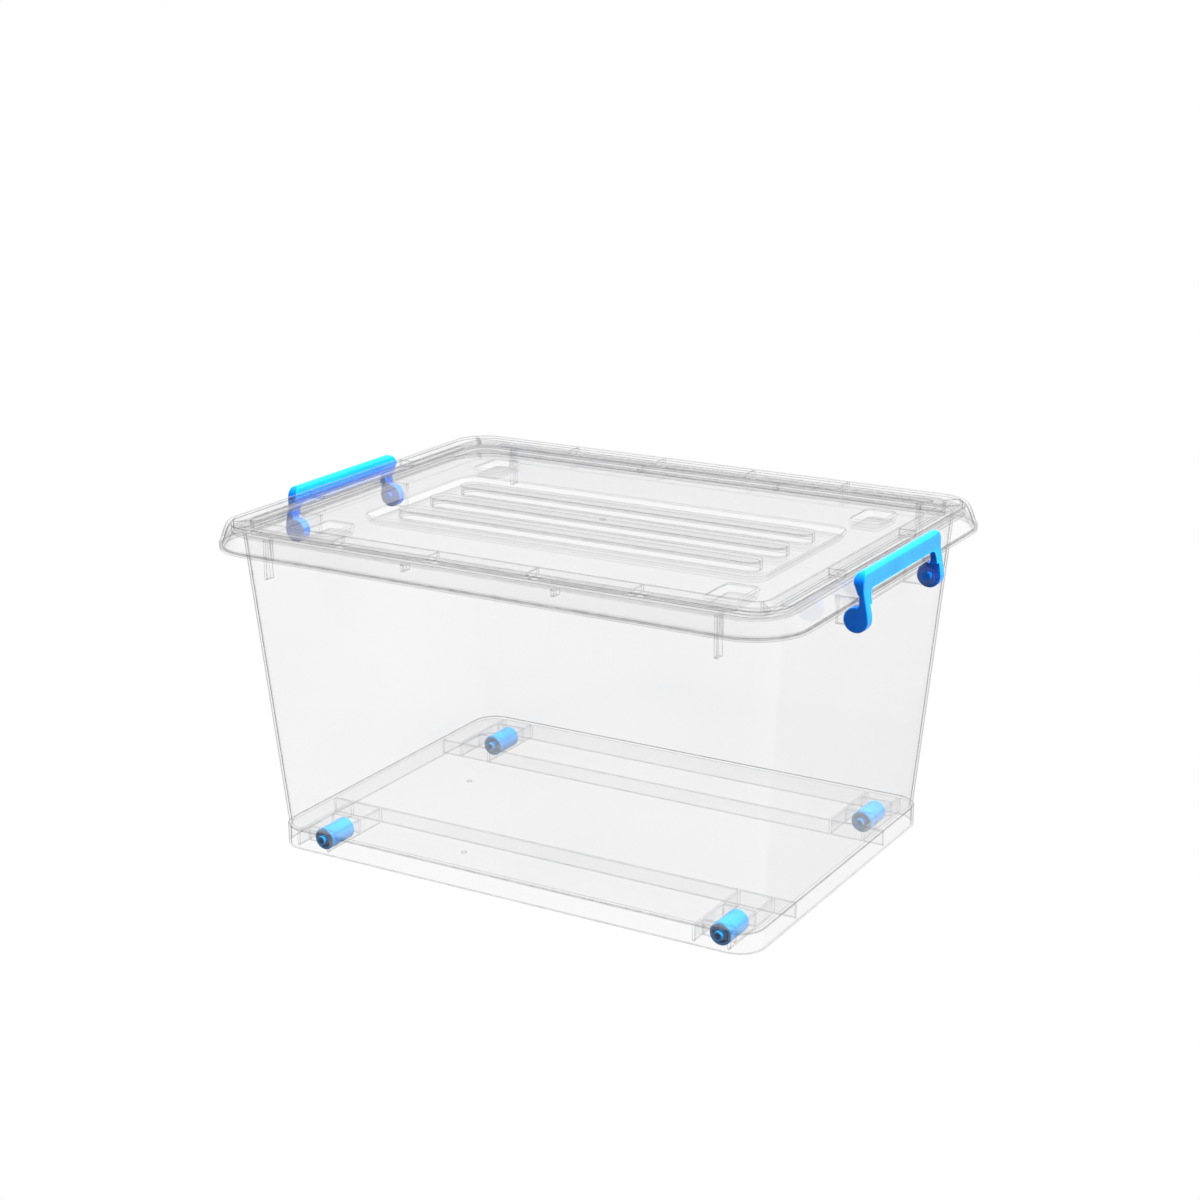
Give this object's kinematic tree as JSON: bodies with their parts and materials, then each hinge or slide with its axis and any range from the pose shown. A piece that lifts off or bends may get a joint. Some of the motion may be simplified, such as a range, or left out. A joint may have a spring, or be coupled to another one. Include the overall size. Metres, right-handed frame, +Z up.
{
  "type": "wheeled storage box",
  "caption": "Clear tapered storage box on small rollers, with a stackable lid held down by a swinging clip at each short end.",
  "frame": {"origin": "on the ground under the centre of the box, where the rollers touch", "axes": "+Z up, +X along the length towards the right clip, -Y towards the front long side"},
  "size_m": [0.619, 0.458, 0.3307],
  "materials": {
    "clear_tub": "clear glossy polypropylene",
    "clear_lid": "clear glossy polypropylene",
    "blue_clip": "glossy blue polypropylene",
    "blue_roller": "glossy blue polypropylene"
  },
  "bodies": {
    "tub": {"tub": "clear_tub"},
    "lid": {"lid": "clear_lid"},
    "clip_right": {"clip_right": "blue_clip"},
    "clip_left": {"clip_left": "blue_clip"},
    "roller_front_left": {"roller_front_left": "blue_roller"},
    "roller_front_right": {"roller_front_right": "blue_roller"},
    "roller_rear_left": {"roller_rear_left": "blue_roller"},
    "roller_rear_right": {"roller_rear_right": "blue_roller"}
  },
  "joints": [
    {"name": "lid_lift", "type": "slide", "parent": "tub", "child": "lid", "axis": [0, 0, 1], "range_m": [0, 0.06]},
    {"name": "clip_right_swing", "type": "hinge", "parent": "tub", "child": "clip_right", "pos_m": [0.298, 0, 0.2879], "axis": [0, 1, 0], "range_deg": [0, 160]},
    {"name": "clip_left_swing", "type": "hinge", "parent": "tub", "child": "clip_left", "pos_m": [-0.298, 0, 0.2879], "axis": [0, -1, 0], "range_deg": [0, 160]},
    {"name": "roller_front_left_spin", "type": "hinge", "parent": "tub", "child": "roller_front_left", "pos_m": [-0.2147, -0.1483, 0.01075], "axis": [0, 1, 0], "continuous": true},
    {"name": "roller_front_right_spin", "type": "hinge", "parent": "tub", "child": "roller_front_right", "pos_m": [0.2147, -0.1483, 0.01075], "axis": [0, 1, 0], "continuous": true},
    {"name": "roller_rear_left_spin", "type": "hinge", "parent": "tub", "child": "roller_rear_left", "pos_m": [-0.2147, 0.1483, 0.01075], "axis": [0, 1, 0], "continuous": true},
    {"name": "roller_rear_right_spin", "type": "hinge", "parent": "tub", "child": "roller_rear_right", "pos_m": [0.2147, 0.1483, 0.01075], "axis": [0, 1, 0], "continuous": true}
  ],
  "couplings": [
    {"joint": "clip_right_swing", "follows": "lid_lift", "rad_per_m": 46.5},
    {"joint": "clip_left_swing", "follows": "lid_lift", "rad_per_m": 46.5}
  ]
}
